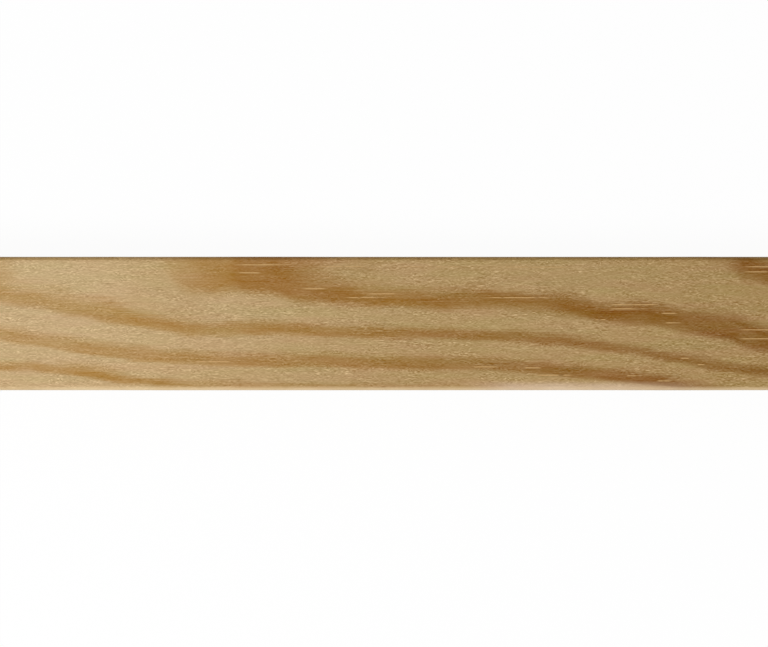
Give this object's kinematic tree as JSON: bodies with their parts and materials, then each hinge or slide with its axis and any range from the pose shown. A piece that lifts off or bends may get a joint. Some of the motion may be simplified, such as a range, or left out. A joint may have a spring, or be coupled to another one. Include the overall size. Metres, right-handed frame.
{
  "type": "acoustic panel wood slat",
  "caption": "Straight dressed pine slat with rounded long edges, a flat back and square saw-cut ends, fixed side by side with others on a sound-absorbing backing as a slat panel.",
  "frame": {"origin": "middle of the slat's back, on the surface that it lies on", "axes": "+X along the slat and its grain, +Y across the show face, +Z out of the show face"},
  "size_m": [0.6, 0.042, 0.019],
  "materials": {
    "pine": "satin"
  },
  "bodies": {
    "root": {"slat": "pine"}
  },
  "joints": []
}
